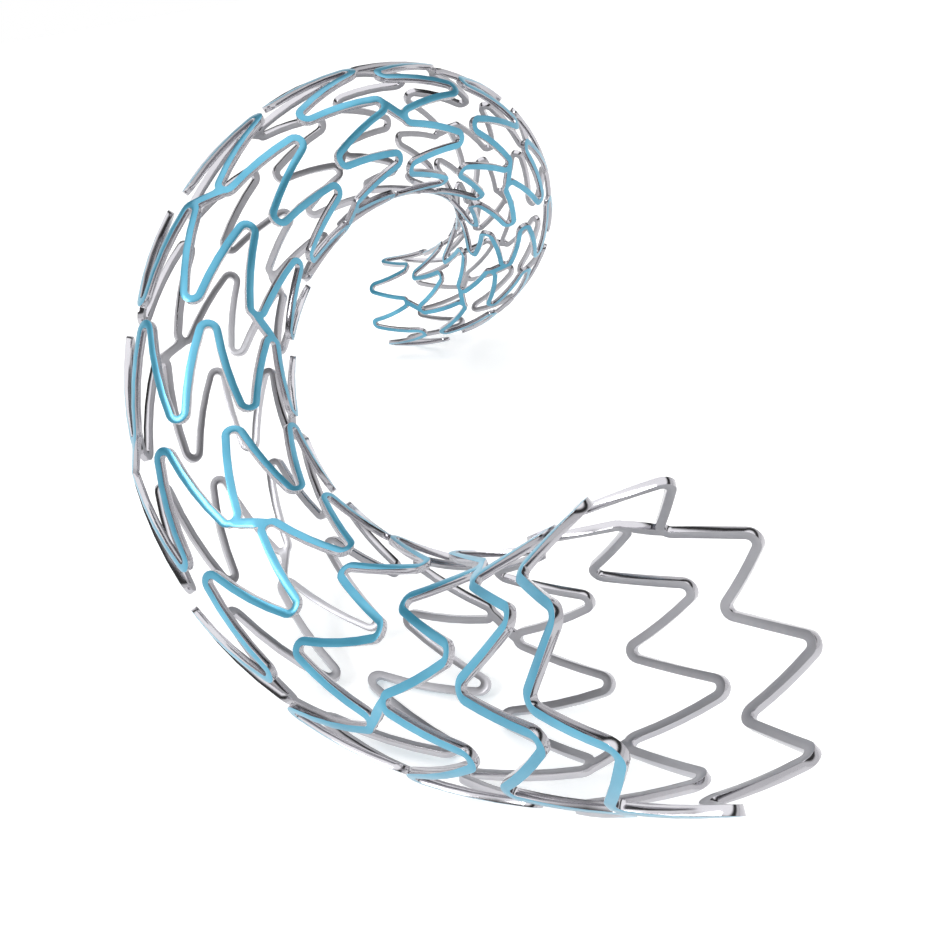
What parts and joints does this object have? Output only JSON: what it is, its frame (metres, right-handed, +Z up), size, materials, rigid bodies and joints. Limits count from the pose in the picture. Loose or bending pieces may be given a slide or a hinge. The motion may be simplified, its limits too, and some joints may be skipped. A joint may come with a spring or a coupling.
{
  "type": "vascular stent",
  "caption": "Expanded metal mesh tube of zig-zag rings joined by short diagonal links, coated blue on its outer face and bent into a loose loop",
  "frame": {"origin": "middle of the footprint, on the surface it lies on", "axes": "+Z up as it rests; +Y along the length of the bent tube, from the wide open end toward the curled end; +X to the right seen from the wide end"},
  "size_m": [0.0098, 0.0214, 0.0092],
  "materials": {
    "coated_metal": "satin blue coating on the outer face, bright polished metal on the inner face and the cut sides"
  },
  "bodies": {
    "root": {"stent_frame": "coated_metal"}
  },
  "joints": []
}
